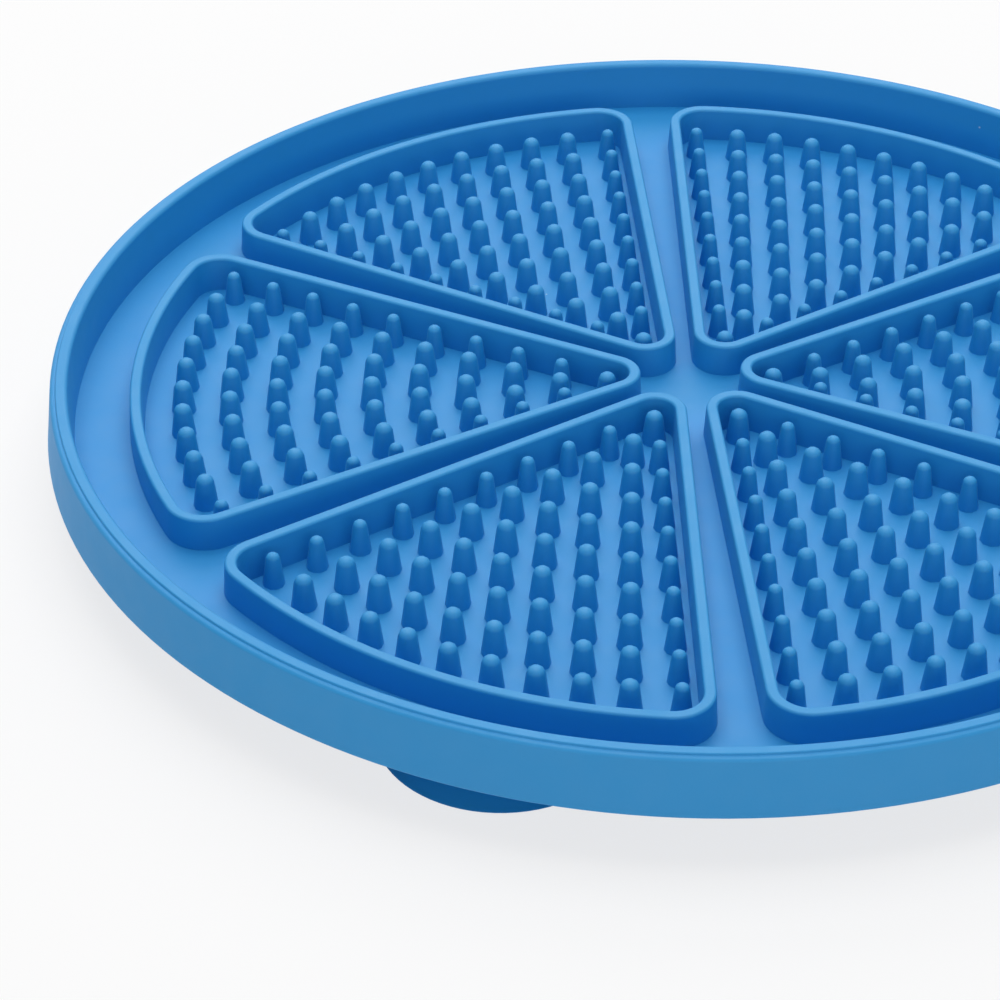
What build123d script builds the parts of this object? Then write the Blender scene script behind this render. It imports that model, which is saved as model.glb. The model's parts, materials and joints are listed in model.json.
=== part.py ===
"""Round silicone lick mat: a rimmed tray with six studded compartments on four push-in suction cups.

Millimetres, +Z up. The origin is on the floor below the centre of the mat, and one spoke channel
runs along -Y. Each node is one feature of the moulding or one loose piece.
"""

import os
from math import asin, atan, cos, degrees, pi, radians, sin, sqrt, tan

from build123d import *

# Whole mat: the diameter is taken at the top of the outer wall, which widens downwards
mat_diameter = 200.0
outer_draft = 6.0
standoff = 9.0
floor_thickness = 1.6

# Raised rim round the edge: a narrow land with a lower ledge outside it
rim_height = 8.4
rim_width = 2.1
rim_inner_draft = 4.0
rim_edge = 0.7
land_edge = 0.5
ledge_width = 0.8
ledge_drop = 0.8
ledge_edge = 0.6

# Moat between the rim and the compartments
moat_width = 8.6

# Compartments and the spoke channels between them
compartment_count = 6
spoke_gap = 4.2
spoke_flare = 1.5
tip_radius = 4.0
corner_radius = 5.2

# Wall round each compartment
wall_height = 5.2
wall_base = 2.3
wall_draft = 3.0
wall_top_edge = 0.55

# Studs, set on arcs about the middle of the mat, on a backing sunk into the floor
stud_sides = 5
stud_root = 0.25
backing_sink = 0.6
backing_thickness = 0.4
arc_start = 13.1
arc_pitch = 7.4
stud_pitch = 6.65
arc_margin = 4.5
wide_stud_base = 3.95
wide_stud_tip = 2.1
slim_stud_base = 3.55
slim_stud_tip = 1.6
slim_stud_wall_gap = 3.7
stud_height = 5.8
stud_cap = 0.7

# Suction cups
cup_count = 4
cup_inset = 23.0
cup_bearing = -115.0
cup_lip_diameter = 36.0
cup_lip_width = 0.8
cup_crown_diameter = 14.0
cup_crown_thickness = 1.7
cup_hollow_diameter = 11.0

# Mushroom head of each cup, and the undercut socket that holds it
neck_diameter = 6.0
head_diameter = 9.2
head_tip_diameter = 6.4
head_height = 1.7
socket_wall = 2.4
socket_lip = 1.4
running_clearance = 0.05
turning_gap = 0.25

# Levels
floor_level = standoff + floor_thickness
rim_level = floor_level + rim_height
ledge_level = rim_level - ledge_drop
shoulder_level = ledge_level - ledge_edge
backing_level = floor_level - backing_sink
pocket_level = backing_level - backing_thickness

# Radii of the outer wall, the rim, the moat and the compartment walls
mat_radius = mat_diameter / 2
underside_radius = mat_radius + (shoulder_level - standoff) * tan(radians(outer_draft))
floor_radius = mat_radius + (shoulder_level - floor_level) * tan(radians(outer_draft))
ledge_radius = mat_radius - ledge_width
rim_land_radius = mat_radius - rim_width
rim_wall_top_radius = rim_land_radius - rim_edge
rim_foot_radius = rim_wall_top_radius - (rim_height - rim_edge) * tan(radians(rim_inner_draft))
wall_arc_radius = rim_foot_radius - moat_width - wall_base / 2

# Each compartment's side walls lean away from the spokes by the flare
half_sector = 180 / compartment_count
half_wedge = half_sector - spoke_flare
wedge_apex = spoke_gap / 2 * cos(radians(spoke_flare)) / sin(radians(half_wedge))

# Levels of the cup and its socket
socket_depth = socket_lip + head_height + 2 * turning_gap
socket_mouth = standoff - socket_depth
socket_radius = head_diameter / 2 + turning_gap
boss_radius = socket_radius + socket_wall
cup_crown_level = socket_mouth - turning_gap
head_level = socket_mouth + socket_lip + turning_gap


def sector_bearing(number):
    """Bearing of a compartment's middle line; the first one lies beside the -Y spoke."""
    return -90 + half_sector + (number - 1) * 2 * half_sector


def compartment_plane(number, level):
    """Plane at a level, with its X axis along a compartment's middle line."""
    return Plane.XY.rotated((0, 0, sector_bearing(number))).offset(level)


def compartment_face(margin):
    """A compartment's outline, set out from the middle of its wall by a margin."""
    apex = wedge_apex - margin / sin(radians(half_wedge))
    radius = wall_arc_radius + margin
    slope = radians(half_wedge)
    reach = sqrt(radius**2 - (apex * sin(slope)) ** 2) - apex * cos(slope)
    corner = (apex + reach * cos(slope), reach * sin(slope))
    with BuildSketch() as outline:
        with BuildLine():
            Line((apex, 0), (corner[0], -corner[1]))
            ThreePointArc((corner[0], -corner[1]), (radius, 0), corner)
            Line(corner, (apex, 0))
        make_face()
        fillet(outline.vertices().sort_by(Axis.X)[-2:], corner_radius + margin)
        fillet(outline.vertices().sort_by(Axis.X)[0], tip_radius + margin)
    return outline.sketch


def stud_places():
    """Places of the wide and the slim studs in a compartment, on arcs of even pitch."""
    last_radius = wall_arc_radius - wall_base / 2 - arc_margin
    arc_count = int((last_radius - arc_start) / arc_pitch) + 1
    wide = [(arc_start, 0)]
    slim = []
    for arc in range(1, arc_count):
        radius = arc_start + arc * arc_pitch
        step = stud_pitch / radius
        angles = [(index - (arc - 1) / 2) * step for index in range(arc)]
        wide += [(radius * cos(angle), radius * sin(angle)) for angle in angles]
        wall_distance = spoke_gap / 2 + radius * tan(radians(spoke_flare)) + slim_stud_wall_gap
        edge_angle = radians(half_sector) - asin(wall_distance / radius)
        slim += [(radius * cos(edge_angle), side * radius * sin(edge_angle)) for side in (-1, 1)]
    return wide, slim


def cup_places():
    """Centres of the suction cups, evenly round a circle set in from the outer wall."""
    radius = mat_radius - cup_inset
    bearings = [radians(cup_bearing + index * 360 / cup_count) for index in range(cup_count)]
    return [(radius * cos(bearing), radius * sin(bearing)) for bearing in bearings]


def make_base():
    """Floor of the tray, with a pocket for each stud field and an undercut socket boss for each cup."""
    places = cup_places()
    with BuildPart() as base:
        with BuildSketch(Plane.XY.offset(standoff)):
            Circle(underside_radius)
        extrude(amount=floor_thickness, taper=outer_draft)
        for number in range(1, compartment_count + 1):
            with BuildSketch(compartment_plane(number, pocket_level)):
                add(compartment_face(-wall_base / 2))
            extrude(amount=backing_thickness + backing_sink, mode=Mode.SUBTRACT)
        with BuildSketch(Plane.XY.offset(socket_mouth)):
            with Locations(*places):
                Circle(boss_radius)
        extrude(amount=socket_depth)
        with BuildSketch(Plane.XY.offset(socket_mouth)):
            with Locations(*places):
                Circle(neck_diameter / 2 + running_clearance)
        extrude(amount=socket_lip, mode=Mode.SUBTRACT)
        with BuildSketch(Plane.XY.offset(socket_mouth + socket_lip)):
            with Locations(*places):
                Circle(socket_radius)
        extrude(amount=socket_depth - socket_lip, mode=Mode.SUBTRACT)
    base.part.label = "base"
    return base.part


def make_rim():
    """Rim that stands on the edge of the floor, turned from its section."""
    with BuildPart() as rim:
        with BuildSketch(Plane.XZ):
            with BuildLine():
                Polyline(
                    (floor_radius, floor_level),
                    (mat_radius, shoulder_level),
                    (mat_radius - ledge_edge, ledge_level),
                    (ledge_radius, ledge_level),
                    (ledge_radius, rim_level - land_edge),
                    (ledge_radius - land_edge, rim_level),
                    (rim_land_radius, rim_level),
                    (rim_wall_top_radius, rim_level - rim_edge),
                    (rim_foot_radius, floor_level),
                    close=True,
                )
            make_face()
        revolve(axis=Axis.Z)
    rim.part.label = "rim"
    return rim.part


def make_compartment_wall(number):
    """Drafted wall ring of one compartment, standing on the floor."""
    plane = compartment_plane(number, floor_level)
    with BuildPart() as wall:
        with BuildSketch(plane):
            add(compartment_face(wall_base / 2))
        extrude(amount=wall_height, taper=wall_draft)
        with BuildSketch(plane):
            add(compartment_face(-wall_base / 2))
        extrude(amount=wall_height, taper=-wall_draft, mode=Mode.SUBTRACT)
        chamfer(wall.edges().group_by(Axis.Z)[-1], wall_top_edge)
    wall.part.label = f"compartment_wall_{number}"
    return wall.part


def make_stud(base_diameter, tip_diameter):
    """One tapered stud with a low pointed cap, its root below the backing's surface."""
    shaft = stud_root + stud_height - stud_cap
    flat_step = (base_diameter - tip_diameter) / 2 * cos(pi / stud_sides)
    with BuildPart() as stud:
        with BuildSketch(Plane.XY.offset(-stud_root)):
            RegularPolygon(base_diameter / 2, stud_sides)
        extrude(amount=shaft, taper=degrees(atan(flat_step / shaft)))
        with BuildSketch(Plane.XY.offset(shaft - stud_root)) as shoulder:
            RegularPolygon(tip_diameter / 2, stud_sides)
        loft([shoulder.sketch, Vertex(0, 0, stud_height)], ruled=True)
    return stud.part


def make_stud_field(number, wide_stud, slim_stud):
    """Studs of one compartment, fused to a slice of the floor under them."""
    wide, slim = stud_places()
    with BuildPart() as field:
        with BuildSketch(compartment_plane(number, pocket_level)):
            add(compartment_face(-wall_base / 2))
        extrude(amount=backing_thickness)
        with Locations(compartment_plane(number, backing_level)):
            with Locations(*wide):
                add(wide_stud)
            with Locations(*slim):
                add(slim_stud)
    field.part.label = f"stud_field_{number}"
    return field.part


def make_suction_cup(number, place):
    """Push-in suction cup, turned from its section about its own axis."""
    lip = cup_lip_diameter / 2
    neck = neck_diameter / 2
    head_top = head_level + head_height
    hollow_level = cup_crown_level - cup_crown_thickness
    with BuildPart() as cup:
        with BuildSketch(Plane((*place, 0), x_dir=(1, 0, 0), z_dir=(0, -1, 0))):
            with BuildLine():
                Polyline(
                    (lip - cup_lip_width, 0),
                    (lip, 0),
                    (cup_crown_diameter / 2, cup_crown_level),
                    (neck, cup_crown_level),
                    (neck, head_level),
                    (head_diameter / 2, head_level),
                    (head_tip_diameter / 2, head_top),
                    (0, head_top),
                    (0, hollow_level),
                    (cup_hollow_diameter / 2, hollow_level),
                    close=True,
                )
            make_face()
        revolve(axis=Axis((*place, 0), (0, 0, 1)))
    cup.part.label = f"suction_cup_{number}"
    return cup.part


os.makedirs("parts", exist_ok=True)
pieces = [make_base(), make_rim()]
wide_stud = make_stud(wide_stud_base, wide_stud_tip)
slim_stud = make_stud(slim_stud_base, slim_stud_tip)
for number in range(1, compartment_count + 1):
    pieces.append(make_compartment_wall(number))
    pieces.append(make_stud_field(number, wide_stud, slim_stud))
for number, place in enumerate(cup_places(), start=1):
    pieces.append(make_suction_cup(number, place))
for piece in pieces:
    export_step(piece, f"parts/{piece.label}.step")
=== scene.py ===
"""Looks of the round silicone lick mat: rimmed tray, studded compartments and suction cups."""

import json
from math import asin, atan2, cos, pi, radians, sin, sqrt, tan

import bmesh
import bpy
from mathutils import Matrix, Vector


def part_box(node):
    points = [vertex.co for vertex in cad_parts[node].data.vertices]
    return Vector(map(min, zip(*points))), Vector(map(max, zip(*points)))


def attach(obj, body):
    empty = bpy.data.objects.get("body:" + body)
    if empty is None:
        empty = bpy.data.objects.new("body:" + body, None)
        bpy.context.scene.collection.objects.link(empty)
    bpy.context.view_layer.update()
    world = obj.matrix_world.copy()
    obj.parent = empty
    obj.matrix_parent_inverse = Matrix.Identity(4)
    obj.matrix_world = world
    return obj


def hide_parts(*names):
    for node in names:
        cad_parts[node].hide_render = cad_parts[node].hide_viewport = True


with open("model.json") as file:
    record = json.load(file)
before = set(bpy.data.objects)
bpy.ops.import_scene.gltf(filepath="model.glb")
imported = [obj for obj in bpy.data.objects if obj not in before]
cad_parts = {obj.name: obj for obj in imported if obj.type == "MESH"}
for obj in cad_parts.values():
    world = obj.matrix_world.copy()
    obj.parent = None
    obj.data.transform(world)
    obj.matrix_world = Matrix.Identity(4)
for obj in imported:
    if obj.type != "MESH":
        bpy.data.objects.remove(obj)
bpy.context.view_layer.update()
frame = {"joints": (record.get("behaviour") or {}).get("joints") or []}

# Levels and radii that the frame gives, in metres
MM = 0.001
underside_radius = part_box("base")[1].x
rim_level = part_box("rim")[1].z
floor_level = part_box("base")[1].z
socket_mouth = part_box("base")[0].z
wall_outer_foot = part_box("compartment_wall_2")[1].x
wall_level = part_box("compartment_wall_2")[1].z
stud_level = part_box("stud_field_2")[1].z
pocket_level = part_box("stud_field_2")[0].z
cup_lip_radius = (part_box("suction_cup_1")[1].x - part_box("suction_cup_1")[0].x) / 2
cup_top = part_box("suction_cup_1")[1].z
cup_centres = [Vector(joint["pos_m"]) for joint in frame["joints"]]

# Tray, whose outer wall widens downwards
FLOOR_THICKNESS = 1.6 * MM
OUTER_DRAFT = radians(6)
RIM_INNER_DRAFT = radians(4)
RIM_TOP_WIDTH = 2.69 * MM
RIM_INNER_ROUND = 0.7 * MM
LEDGE_WIDTH = 0.85 * MM
LEDGE_DROP = 0.4 * MM
LEDGE_ROUND = 0.6 * MM
LAND_ROUND = 0.22 * MM
CREASE_ROUND = 0.16 * MM
TRAY_BOTTOM_ROUND = 0.6 * MM
TRAY_STEPS = 192

# Compartments, six of them between the spokes
COMPARTMENTS = 6
HALF_SECTOR = pi / COMPARTMENTS
SPOKE_GAP = 4.2 * MM
SPOKE_FLARE = radians(1.5)
TIP_RADIUS = 4.0 * MM
CORNER_RADIUS = 5.2 * MM
CORNER_STEPS = 10
ARC_STEPS = 40
TIP_STEPS = 14

# Wall section
WALL_BASE = 2.3 * MM
WALL_DRAFT = radians(3)
WALL_TOP_ROUND = 0.45 * MM

# Studs on arcs about the middle of the mat, each given by its base and tip diameters
BACKING = 0.4 * MM
STUD_ROOT = 0.25 * MM
ARC_START = 13.1 * MM
ARC_PITCH = 7.4 * MM
ARC_COUNT = 10
STUD_PITCH = 6.65 * MM
SLIM_STUD_WALL_GAP = 3.7 * MM
WIDE_STUD = (3.95 * MM, 2.5 * MM)
SLIM_STUD = (3.4 * MM, 1.95 * MM)
STUD_TIP_DROP = 0.45 * MM
STUD_DOME_SHARE = 0.8
STUD_SIDES = 10
STUD_ROUND_STEPS = 3

# Suction cups and their sockets
CUP_LIP_WIDTH = 0.8 * MM
CUP_LIP_ROUND = 0.3 * MM
CUP_CROWN_RADIUS = 7.0 * MM
CUP_CROWN_ROUND = 1.2 * MM
CUP_CROWN_THICKNESS = 1.7 * MM
CUP_HOLLOW_RADIUS = 5.5 * MM
CUP_HOLLOW_ROUND = 0.8 * MM
NECK_RADIUS = 3.0 * MM
NECK_ROUND = 0.2 * MM
HEAD_RADIUS = 4.6 * MM
HEAD_TIP_RADIUS = 3.2 * MM
HEAD_TIP_ROUND = 0.4 * MM
SOCKET_LIP = 1.4 * MM
SOCKET_WALL = 2.4 * MM
SOCKET_MOUTH_ROUND = 0.5 * MM
SOCKET_FOOT_FLARE = 1.0 * MM
SOCKET_FOOT_ROUND = 0.6 * MM
SOCKET_SINK = 0.3 * MM
TURNING_GAP = 0.25 * MM
RUNNING_CLEARANCE = 0.05 * MM
CUP_STEPS = 72

# Steps of a rounded corner, the distance within which points are one, and the angle of a sharp edge
ROUND_STEPS = 5
MERGE = 0.001 * MM
SHARP_ANGLE = radians(60)

# Silicone: colours in linear light, its satin finish, and the scales of its patterns per metre
MAT_COLOUR = (0.002, 0.275, 0.64, 1)
MAT_MOTTLE = (0.003, 0.287, 0.66, 1)
MAT_DUST = 0.03
CUP_COLOUR = (0.002, 0.265, 0.63, 1)
CUP_MOTTLE = (0.003, 0.277, 0.65, 1)
CUP_DUST = 0.02
DUST_COLOUR = (0.55, 0.68, 0.80, 1)
SATIN_ROUGHNESS = 0.6
ROUGHNESS_SPREAD = 0.03
GLOSS_LEVEL = 0.75
MOTTLE_SCALE = 70.0
SPECK_SCALE = 190.0
SPECK_CORE = 0.02
SPECK_EDGE = 0.045
UNEVEN_SCALE = 240.0
UNEVEN_LOW = 0.3
UNEVEN_HIGH = 0.7
GRAIN_SCALE = 3200.0
GRAIN_STRENGTH = 0.12
GRAIN_DEPTH = 0.1 * MM

# Camera, as the photograph was taken, with its lens in millimetres
CAMERA_PLACE = Vector((-46.5, -434.2, 294.5)) * MM
CAMERA_ELEVATION = radians(34.89)
CAMERA_HEADING = radians(2.18)
LENS = 118.4
NEAR_CLIP = 10 * MM

# Light, in metres and watts: each panel's place, size and power
BACK_PANEL = (Vector((0.0, 1.1, 0.88)), (1.5, 0.8), 7.5)
TOP_PANEL = (Vector((0.0, 0.15, 1.28)), (1.2, 1.1), 10)
FRONT_PANEL = (Vector((0.1, -1.4, 0.4)), (2.4, 0.5), 5.2)
ROOM_LIGHT = 0.25

# Floor and backdrop
FLOOR_HALF = 3.0
FLOOR_COLOUR = (0.92, 0.92, 0.925, 1)
FLOOR_ROUGHNESS = 0.9
FLOOR_WHITE_SHARE = 0.75
WHITE = (1, 1, 1, 1)

# Derived sizes of the tray, the compartments and the sockets
underside = floor_level - FLOOR_THICKNESS
ledge_level = rim_level - LEDGE_DROP
ledge_outer = underside_radius - (ledge_level - underside) * tan(OUTER_DRAFT)
rim_inner_top = ledge_outer - RIM_TOP_WIDTH
rim_foot = rim_inner_top - (rim_level - floor_level) * tan(RIM_INNER_DRAFT)
wall_arc = wall_outer_foot - WALL_BASE / 2
half_wedge = HALF_SECTOR - SPOKE_FLARE
wedge_apex = SPOKE_GAP / 2 * cos(SPOKE_FLARE) / sin(half_wedge)
backing_level = pocket_level + BACKING
stud_root = backing_level - STUD_ROOT
stud_tip_level = stud_level - STUD_TIP_DROP
socket_radius = HEAD_RADIUS + TURNING_GAP
head_level = socket_mouth + SOCKET_LIP + TURNING_GAP


# Modelling helpers

def rounded_section(bm, corners, steps=ROUND_STEPS):
    """Outline in the XZ plane through (x, z, rounding) corners, each bevelled by its rounding."""
    points = [bm.verts.new((x, 0, z)) for x, z, _ in corners]
    bm.faces.new(points)
    for point, (_, _, rounding) in zip(points, corners):
        if rounding:
            bmesh.ops.bevel(
                bm, geom=[point], offset=rounding, offset_type="OFFSET", segments=steps,
                profile=0.5, affect="VERTICES", clamp_overlap=True, material=-1,
            )
    bmesh.ops.delete(bm, geom=bm.faces[:], context="FACES_ONLY")
    on_axis = [edge for edge in bm.edges if all(abs(v.co.x) < MERGE for v in edge.verts)]
    bmesh.ops.delete(bm, geom=on_axis, context="EDGES")


def close_seams(bm):
    """Merges doubled points and turns the faces outwards."""
    bmesh.ops.remove_doubles(bm, verts=bm.verts[:], dist=MERGE)
    bmesh.ops.recalc_face_normals(bm, faces=bm.faces[:])


def turned(corners, turn_steps, steps=ROUND_STEPS):
    """A bmesh turned about Z from its section."""
    bm = bmesh.new()
    rounded_section(bm, corners, steps)
    bmesh.ops.spin(
        bm, geom=bm.verts[:] + bm.edges[:], cent=(0, 0, 0), axis=(0, 0, 1), dvec=(0, 0, 0),
        angle=2 * pi, steps=turn_steps, use_merge=True, use_normal_flip=False, use_duplicate=False,
    )
    close_seams(bm)
    return bm


def points_in(items):
    """The points among an operator's points, edges and faces."""
    return [item for item in items if isinstance(item, bmesh.types.BMVert)]


def copies_at(source, places):
    """A bmesh with one copy of the source at each place."""
    bm = source.copy()
    shape = bm.verts[:] + bm.edges[:] + bm.faces[:]
    first, *others = places
    for place in others:
        made = bmesh.ops.duplicate(bm, geom=shape)["geom"]
        bmesh.ops.translate(bm, verts=points_in(made), vec=place)
    bmesh.ops.translate(bm, verts=points_in(shape), vec=first)
    return bm


def finish_piece(bm, name, body, slot, material, *nodes):
    """Makes the bmesh a smooth piece that rides on a body and stands for the nodes."""
    mesh = bpy.data.meshes.new(name)
    bm.to_mesh(mesh)
    bm.free()
    mesh.shade_smooth()
    mesh.set_sharp_from_angle(angle=SHARP_ANGLE)
    mesh.materials.append(material)
    piece = bpy.data.objects.new(name, mesh)
    bpy.context.scene.collection.objects.link(piece)
    weighted = piece.modifiers.new("even_shading", "WEIGHTED_NORMAL")
    weighted.keep_sharp = True
    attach(piece, body)
    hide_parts(*nodes)


# Materials

def new_node(tree, kind, **values):
    """Adds a node and sets its input values by name."""
    node = tree.nodes.new(kind)
    for name, value in values.items():
        node.inputs[name.replace("_", " ")].default_value = value
    return node


def make_silicone_group():
    """Moulded silicone: soft mottling, fine tooling grain and a few specks of dust."""
    group = bpy.data.node_groups.new("silicone_skin", "ShaderNodeTree")
    face = group.interface
    face.new_socket("Vector", in_out="INPUT", socket_type="NodeSocketVector")
    for name in ("Colour", "Mottle Colour", "Dust Colour"):
        face.new_socket(name, in_out="INPUT", socket_type="NodeSocketColor")
    for name in ("Roughness", "Dust Amount"):
        face.new_socket(name, in_out="INPUT", socket_type="NodeSocketFloat")
    face.new_socket("Colour", in_out="OUTPUT", socket_type="NodeSocketColor")
    face.new_socket("Roughness", in_out="OUTPUT", socket_type="NodeSocketFloat")
    face.new_socket("Height", in_out="OUTPUT", socket_type="NodeSocketFloat")
    start = group.nodes.new("NodeGroupInput")
    end = group.nodes.new("NodeGroupOutput")
    link = group.links.new

    mottle = new_node(group, "ShaderNodeTexNoise", Scale=MOTTLE_SCALE, Detail=3.0, Roughness=0.55)
    link(start.outputs["Vector"], mottle.inputs["Vector"])
    blotch = group.nodes.new("ShaderNodeMix")
    blotch.data_type = "RGBA"
    link(mottle.outputs["Fac"], blotch.inputs["Factor"])
    link(start.outputs["Colour"], blotch.inputs["A"])
    link(start.outputs["Mottle Colour"], blotch.inputs["B"])

    specks = new_node(group, "ShaderNodeTexVoronoi", Scale=SPECK_SCALE, Randomness=1.0)
    link(start.outputs["Vector"], specks.inputs["Vector"])
    near = new_node(
        group, "ShaderNodeMapRange",
        From_Min=SPECK_CORE, From_Max=SPECK_EDGE, To_Min=1.0, To_Max=0.0,
    )
    link(specks.outputs["Distance"], near.inputs["Value"])
    chosen = group.nodes.new("ShaderNodeSeparateColor")
    link(specks.outputs["Color"], chosen.inputs["Color"])
    rare = group.nodes.new("ShaderNodeMath")
    rare.operation = "LESS_THAN"
    link(chosen.outputs["Red"], rare.inputs[0])
    link(start.outputs["Dust Amount"], rare.inputs[1])
    dust = group.nodes.new("ShaderNodeMath")
    dust.operation = "MULTIPLY"
    link(near.outputs["Result"], dust.inputs[0])
    link(rare.outputs["Value"], dust.inputs[1])
    dusted = group.nodes.new("ShaderNodeMix")
    dusted.data_type = "RGBA"
    link(dust.outputs["Value"], dusted.inputs["Factor"])
    link(blotch.outputs["Result"], dusted.inputs["A"])
    link(start.outputs["Dust Colour"], dusted.inputs["B"])
    link(dusted.outputs["Result"], end.inputs["Colour"])

    grain = new_node(group, "ShaderNodeTexNoise", Scale=GRAIN_SCALE, Detail=2.0, Roughness=0.6)
    link(start.outputs["Vector"], grain.inputs["Vector"])
    link(grain.outputs["Fac"], end.inputs["Height"])
    uneven = new_node(group, "ShaderNodeTexNoise", Scale=UNEVEN_SCALE, Detail=2.0, Roughness=0.5)
    link(start.outputs["Vector"], uneven.inputs["Vector"])
    spread = new_node(
        group, "ShaderNodeMapRange",
        From_Min=UNEVEN_LOW, From_Max=UNEVEN_HIGH, To_Min=-ROUGHNESS_SPREAD, To_Max=ROUGHNESS_SPREAD,
    )
    link(uneven.outputs["Fac"], spread.inputs["Value"])
    rough = group.nodes.new("ShaderNodeMath")
    rough.operation = "ADD"
    link(start.outputs["Roughness"], rough.inputs[0])
    link(spread.outputs["Result"], rough.inputs[1])
    link(rough.outputs["Value"], end.inputs["Roughness"])
    return group


silicone_skin = make_silicone_group()


def make_silicone(name, colour, mottle, dust_amount):
    """A satin silicone material on the shared skin."""
    material = bpy.data.materials.new(name)
    material.use_nodes = True
    tree = material.node_tree
    shader = tree.nodes["Principled BSDF"]
    where = tree.nodes.new("ShaderNodeTexCoord")
    skin = tree.nodes.new("ShaderNodeGroup")
    skin.node_tree = silicone_skin
    skin.inputs["Colour"].default_value = colour
    skin.inputs["Mottle Colour"].default_value = mottle
    skin.inputs["Dust Colour"].default_value = DUST_COLOUR
    skin.inputs["Dust Amount"].default_value = dust_amount
    skin.inputs["Roughness"].default_value = SATIN_ROUGHNESS
    bump = new_node(tree, "ShaderNodeBump", Strength=GRAIN_STRENGTH, Distance=GRAIN_DEPTH)
    link = tree.links.new
    link(where.outputs["Object"], skin.inputs["Vector"])
    link(skin.outputs["Colour"], shader.inputs["Base Color"])
    link(skin.outputs["Roughness"], shader.inputs["Roughness"])
    link(skin.outputs["Height"], bump.inputs["Height"])
    link(bump.outputs["Normal"], shader.inputs["Normal"])
    shader.inputs["Specular IOR Level"].default_value = GLOSS_LEVEL
    return material


mat_silicone = make_silicone("mat_silicone", MAT_COLOUR, MAT_MOTTLE, MAT_DUST)
cup_silicone = make_silicone("cup_silicone", CUP_COLOUR, CUP_MOTTLE, CUP_DUST)


# Wall lines of the compartments

def sector_bearing(number):
    """Bearing of a compartment's middle line; the first one lies beside the -Y spoke."""
    return -pi / 2 + HALF_SECTOR + (number - 1) * 2 * HALF_SECTOR


def compartment_path():
    """Start point and legs of a compartment's wall line, with its middle line along X."""
    along = Vector((cos(half_wedge), -sin(half_wedge), 0))
    inward = Vector((sin(half_wedge), cos(half_wedge), 0))
    tip_centre = Vector((wedge_apex + TIP_RADIUS / sin(half_wedge), 0, 0))
    start = tip_centre - TIP_RADIUS * inward
    foot = Vector((wedge_apex, 0, 0)) + CORNER_RADIUS * inward
    reach = wall_arc - CORNER_RADIUS
    run = -foot.dot(along) + sqrt(foot.dot(along) ** 2 - foot.length_squared + reach**2)
    corner = foot + run * along
    arc_half = -atan2(corner.y, corner.x)
    corner_turn = pi / 2 - arc_half + half_wedge
    far_corner = Vector((corner.x, -corner.y, 0))
    side = (corner - CORNER_RADIUS * inward - start).length
    legs = [
        ("straight", side * along, 0, 1),
        ("turn", corner, corner_turn, CORNER_STEPS),
        ("turn", Vector((0, 0, 0)), 2 * arc_half, ARC_STEPS),
        ("turn", far_corner, corner_turn, CORNER_STEPS),
        ("straight", side * Vector((-along.x, along.y, 0)), 0, 1),
        ("turn", tip_centre, pi - 2 * half_wedge, TIP_STEPS),
    ]
    return start, along, legs


def sweep_round(bm, number):
    """Sweeps the XZ section in the bmesh round a compartment's wall line, +X outwards."""
    start, along, legs = compartment_path()
    outward = Vector((along.y, -along.x, 0))
    place = Matrix((outward, along, (0, 0, 1))).transposed().to_4x4()
    place.translation = start
    bmesh.ops.transform(bm, matrix=place, verts=bm.verts[:])
    tail = bm.verts[:] + bm.edges[:]
    for kind, vector, turn, steps in legs:
        if kind == "turn":
            tail = bmesh.ops.spin(
                bm, geom=tail, cent=vector, axis=(0, 0, 1), dvec=(0, 0, 0), angle=turn, steps=steps,
                use_merge=False, use_normal_flip=False, use_duplicate=False,
            )["geom_last"]
        else:
            edges = [item for item in tail if isinstance(item, bmesh.types.BMEdge)]
            made = bmesh.ops.extrude_edge_only(bm, edges=edges)["geom"]
            tail = [item for item in made if not isinstance(item, bmesh.types.BMFace)]
            bmesh.ops.translate(bm, verts=points_in(tail), vec=vector)
    close_seams(bm)
    turn_to = Matrix.Rotation(sector_bearing(number), 3, "Z")
    bmesh.ops.rotate(bm, cent=(0, 0, 0), matrix=turn_to, verts=bm.verts[:])


def add_outline(bm, number, level):
    """Adds a compartment's wall line at a level, as a closed loop of edges."""
    start, _, legs = compartment_path()
    others = set(bm.verts)
    tail = [bm.verts.new(start + Vector((0, 0, level)))]
    for kind, vector, turn, steps in legs:
        if kind == "turn":
            tail = bmesh.ops.spin(
                bm, geom=tail, cent=vector, axis=(0, 0, 1), dvec=(0, 0, 0), angle=turn, steps=steps,
                use_merge=False, use_normal_flip=False, use_duplicate=False,
            )["geom_last"]
        else:
            tail = bmesh.ops.extrude_vert_indiv(bm, verts=tail)["verts"]
            bmesh.ops.translate(bm, verts=tail, vec=vector)
    bmesh.ops.remove_doubles(bm, verts=[v for v in bm.verts if v not in others], dist=MERGE)
    turn_to = Matrix.Rotation(sector_bearing(number), 3, "Z")
    outline = [v for v in bm.verts if v not in others]
    bmesh.ops.rotate(bm, cent=(0, 0, 0), matrix=turn_to, verts=outline)


def close_below(bm, edges, depth):
    """Draws a wall down from loops of edges and closes every loop that is then open."""
    made = bmesh.ops.extrude_edge_only(bm, edges=edges)["geom"]
    bmesh.ops.translate(bm, verts=points_in(made), vec=(0, 0, -depth))
    bmesh.ops.holes_fill(bm, edges=[edge for edge in bm.edges if edge.is_boundary], sides=0)
    bmesh.ops.recalc_face_normals(bm, faces=bm.faces[:])


# Tray and compartments

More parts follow.
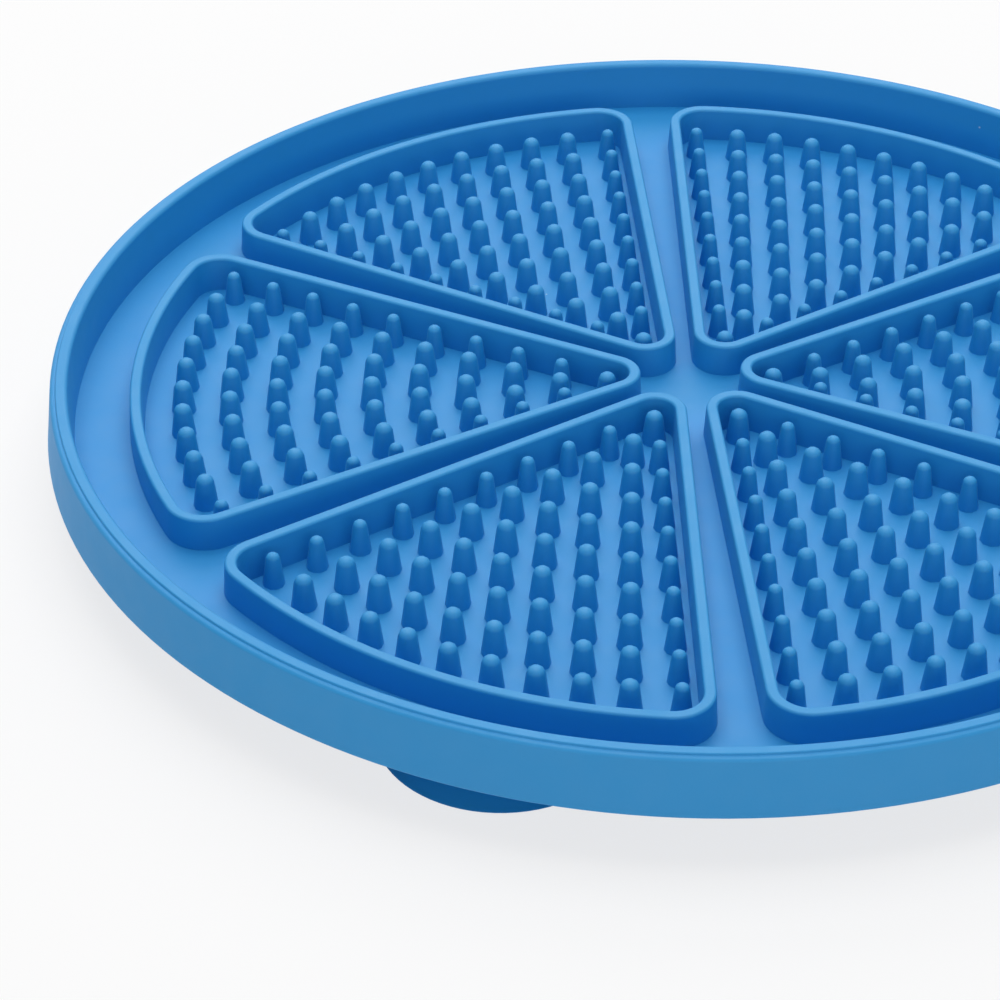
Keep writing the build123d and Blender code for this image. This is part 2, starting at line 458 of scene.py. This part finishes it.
def make_tray():
    """Floor, moat and stepped rim turned from one section, with a pocket for each stud bed."""
    land_edge = ledge_outer - LEDGE_WIDTH
    bm = turned([
        (0, floor_level, 0),
        (rim_foot, floor_level, 0),
        (rim_inner_top, rim_level, RIM_INNER_ROUND),
        (land_edge, rim_level, LAND_ROUND),
        (land_edge, ledge_level, CREASE_ROUND),
        (ledge_outer, ledge_level, LEDGE_ROUND),
        (underside_radius, underside, TRAY_BOTTOM_ROUND),
        (0, underside, 0),
    ], TRAY_STEPS)
    flat = [
        face for face in bm.faces
        if all(abs(v.co.z - floor_level) < MERGE for v in face.verts)
    ]
    bmesh.ops.delete(bm, geom=flat, context="FACES")
    for number in range(1, COMPARTMENTS + 1):
        add_outline(bm, number, floor_level)
    wall_lines = [edge for edge in bm.edges if edge.is_wire]
    moat_edge = [edge for edge in bm.edges if edge.is_boundary]
    bmesh.ops.triangle_fill(bm, edges=wall_lines + moat_edge, use_beauty=True)
    close_below(bm, wall_lines, floor_level - pocket_level)
    finish_piece(bm, "tray", "mat", "mat_silicone", mat_silicone, "base", "rim")


def make_socket_bosses():
    """Undercut bosses under the floor that hold the cups' heads."""
    bore = NECK_RADIUS + RUNNING_CLEARANCE
    boss = socket_radius + SOCKET_WALL
    sunk = underside + SOCKET_SINK
    one = turned([
        (bore, socket_mouth, 0),
        (boss, socket_mouth, SOCKET_MOUTH_ROUND),
        (boss, underside, SOCKET_FOOT_ROUND),
        (boss + SOCKET_FOOT_FLARE, underside, 0),
        (boss + SOCKET_FOOT_FLARE, sunk, 0),
        (socket_radius, sunk, 0),
        (socket_radius, socket_mouth + SOCKET_LIP, 0),
        (bore, socket_mouth + SOCKET_LIP, 0),
    ], CUP_STEPS)
    bm = copies_at(one, cup_centres)
    one.free()
    finish_piece(bm, "socket_bosses", "mat", "mat_silicone", mat_silicone, "base")


def make_wall_ring(number):
    """Drafted wall with a rounded top, swept round one compartment, its foot sunk into the floor."""
    half = WALL_BASE / 2
    top_half = half - (wall_level - floor_level) * tan(WALL_DRAFT)
    bm = bmesh.new()
    rounded_section(bm, [
        (-half, pocket_level, 0),
        (half, pocket_level, 0),
        (half, floor_level, 0),
        (top_half, wall_level, WALL_TOP_ROUND),
        (-top_half, wall_level, WALL_TOP_ROUND),
        (-half, floor_level, 0),
    ])
    sweep_round(bm, number)
    finish_piece(
        bm, f"wall_ring_{number}", "mat", "mat_silicone", mat_silicone, f"compartment_wall_{number}",
    )


def stud_places():
    """Places of the wide and the slim studs of a compartment, with its middle line along X."""
    wide = [Vector((ARC_START, 0, 0))]
    slim = []
    for arc in range(1, ARC_COUNT):
        radius = ARC_START + arc * ARC_PITCH
        angles = [(index - (arc - 1) / 2) * STUD_PITCH / radius for index in range(arc)]
        wide += [radius * Vector((cos(angle), sin(angle), 0)) for angle in angles]
        wall_distance = SPOKE_GAP / 2 + radius * tan(SPOKE_FLARE) + SLIM_STUD_WALL_GAP
        edge = HALF_SECTOR - asin(wall_distance / radius)
        slim += [radius * Vector((cos(edge), side * sin(edge), 0)) for side in (-1, 1)]
    return wide, slim


def make_stud(base_diameter, tip_diameter):
    """One round tapered stud with a domed tip, its root sunk into the compartment's floor."""
    tip = tip_diameter / 2
    return turned([
        (0, stud_root, 0),
        (base_diameter / 2, stud_root, 0),
        (tip, stud_tip_level, tip * STUD_DOME_SHARE),
        (0, stud_tip_level, 0),
    ], STUD_SIDES, STUD_ROUND_STEPS)


wide_stud = make_stud(*WIDE_STUD)
slim_stud = make_stud(*SLIM_STUD)


def make_stud_bed(number):
    """Sunk floor of one compartment with all its studs."""
    wide, slim = stud_places()
    turn_to = Matrix.Rotation(sector_bearing(number), 3, "Z")
    bm = bmesh.new()
    add_outline(bm, number, backing_level)
    close_below(bm, bm.edges[:], BACKING)
    studs = bpy.data.meshes.new("studs")
    for stud, places in ((wide_stud, wide), (slim_stud, slim)):
        many = copies_at(stud, [turn_to @ place for place in places])
        many.to_mesh(studs)
        many.free()
        bm.from_mesh(studs)
    bpy.data.meshes.remove(studs)
    finish_piece(
        bm, f"stud_bed_{number}", "mat", "mat_silicone", mat_silicone, f"stud_field_{number}",
    )


# Suction cups

def make_cup(number, centre):
    """Push-in suction cup with a mushroom head, turned about its own axis."""
    crown_level = socket_mouth - TURNING_GAP
    hollow_level = crown_level - CUP_CROWN_THICKNESS
    bm = turned([
        (0, hollow_level, 0),
        (CUP_HOLLOW_RADIUS, hollow_level, CUP_HOLLOW_ROUND),
        (cup_lip_radius - CUP_LIP_WIDTH, 0, CUP_LIP_ROUND),
        (cup_lip_radius, 0, CUP_LIP_ROUND),
        (CUP_CROWN_RADIUS, crown_level, CUP_CROWN_ROUND),
        (NECK_RADIUS, crown_level, NECK_ROUND),
        (NECK_RADIUS, head_level, 0),
        (HEAD_RADIUS, head_level, NECK_ROUND),
        (HEAD_TIP_RADIUS, cup_top, HEAD_TIP_ROUND),
        (0, cup_top, 0),
    ], CUP_STEPS)
    bmesh.ops.translate(bm, verts=bm.verts[:], vec=centre)
    name = f"cup_{number}"
    finish_piece(bm, name, name, "cup_silicone", cup_silicone, f"suction_cup_{number}")


make_tray()
make_socket_bosses()
for number in range(1, COMPARTMENTS + 1):
    make_wall_ring(number)
    make_stud_bed(number)
for number, centre in enumerate(cup_centres, start=1):
    make_cup(number, centre)
wide_stud.free()
slim_stud.free()


# Stage: a white floor that keeps the mat's shadow, a white backdrop, soft light and the camera

def seen_directly(tree):
    """Mask of the rays that show a thing to the camera, also by gloss or glass."""
    path = tree.nodes.new("ShaderNodeLightPath")
    seen = path.outputs["Is Camera Ray"]
    for name in ("Is Glossy Ray", "Is Transmission Ray"):
        either = tree.nodes.new("ShaderNodeMath")
        either.operation = "MAXIMUM"
        tree.links.new(seen, either.inputs[0])
        tree.links.new(path.outputs[name], either.inputs[1])
        seen = either.outputs["Value"]
    return seen


def make_floor_material():
    """White floor that the camera and reflections see partly as plain white."""
    material = bpy.data.materials.new("floor_white")
    material.use_nodes = True
    tree = material.node_tree
    link = tree.links.new
    shader = tree.nodes["Principled BSDF"]
    shader.inputs["Base Color"].default_value = FLOOR_COLOUR
    shader.inputs["Roughness"].default_value = FLOOR_ROUGHNESS
    shader.inputs["Specular IOR Level"].default_value = 0.0
    white = new_node(tree, "ShaderNodeEmission", Color=WHITE, Strength=1.0)
    share = tree.nodes.new("ShaderNodeMath")
    share.operation = "MULTIPLY"
    share.inputs[1].default_value = FLOOR_WHITE_SHARE
    link(seen_directly(tree), share.inputs[0])
    mix = tree.nodes.new("ShaderNodeMixShader")
    link(share.outputs["Value"], mix.inputs["Fac"])
    link(shader.outputs["BSDF"], mix.inputs[1])
    link(white.outputs["Emission"], mix.inputs[2])
    link(mix.outputs["Shader"], tree.nodes["Material Output"].inputs["Surface"])
    return material


def make_floor():
    """Square floor under the cups, which is no part of the mat."""
    bm = bmesh.new()
    bmesh.ops.create_grid(bm, x_segments=1, y_segments=1, size=FLOOR_HALF)
    mesh = bpy.data.meshes.new("floor")
    bm.to_mesh(mesh)
    bm.free()
    floor = bpy.data.objects.new("floor", mesh)
    bpy.context.scene.collection.objects.link(floor)
    mesh.materials.append(make_floor_material())


def make_panel(name, place, size, power):
    """Large soft panel that faces the mat."""
    data = bpy.data.lights.new(name, "AREA")
    data.shape = "RECTANGLE"
    data.size, data.size_y = size
    data.energy = power
    panel = bpy.data.objects.new(name, data)
    panel.location = place
    panel.rotation_euler = (-place).to_track_quat("-Z", "Y").to_euler()
    bpy.context.scene.collection.objects.link(panel)


def make_world():
    """Dim even light from all round that is seen as a plain white backdrop."""
    world = bpy.data.worlds.new("studio")
    bpy.context.scene.world = world
    world.use_nodes = True
    tree = world.node_tree
    link = tree.links.new
    light = tree.nodes["Background"]
    light.inputs["Color"].default_value = WHITE
    light.inputs["Strength"].default_value = ROOM_LIGHT
    backdrop = new_node(tree, "ShaderNodeBackground", Color=WHITE, Strength=1.0)
    mix = tree.nodes.new("ShaderNodeMixShader")
    link(seen_directly(tree), mix.inputs["Fac"])
    link(light.outputs["Background"], mix.inputs[1])
    link(backdrop.outputs["Background"], mix.inputs[2])
    link(mix.outputs["Shader"], tree.nodes["World Output"].inputs["Surface"])


def make_camera():
    """Camera that sees the mat as the photograph does."""
    data = bpy.data.cameras.new("photo_camera")
    data.lens = LENS
    data.clip_start = NEAR_CLIP
    camera = bpy.data.objects.new("photo_camera", data)
    camera.location = CAMERA_PLACE
    level = cos(CAMERA_ELEVATION)
    ahead = Vector((
        sin(CAMERA_HEADING) * level, cos(CAMERA_HEADING) * level, -sin(CAMERA_ELEVATION),
    ))
    camera.rotation_euler = ahead.to_track_quat("-Z", "Y").to_euler()
    bpy.context.scene.collection.objects.link(camera)
    bpy.context.scene.camera = camera


make_floor()
make_world()
make_panel("back_panel", *BACK_PANEL)
make_panel("top_panel", *TOP_PANEL)
make_panel("front_panel", *FRONT_PANEL)
make_camera()
bpy.context.scene.view_settings.view_transform = "Standard"
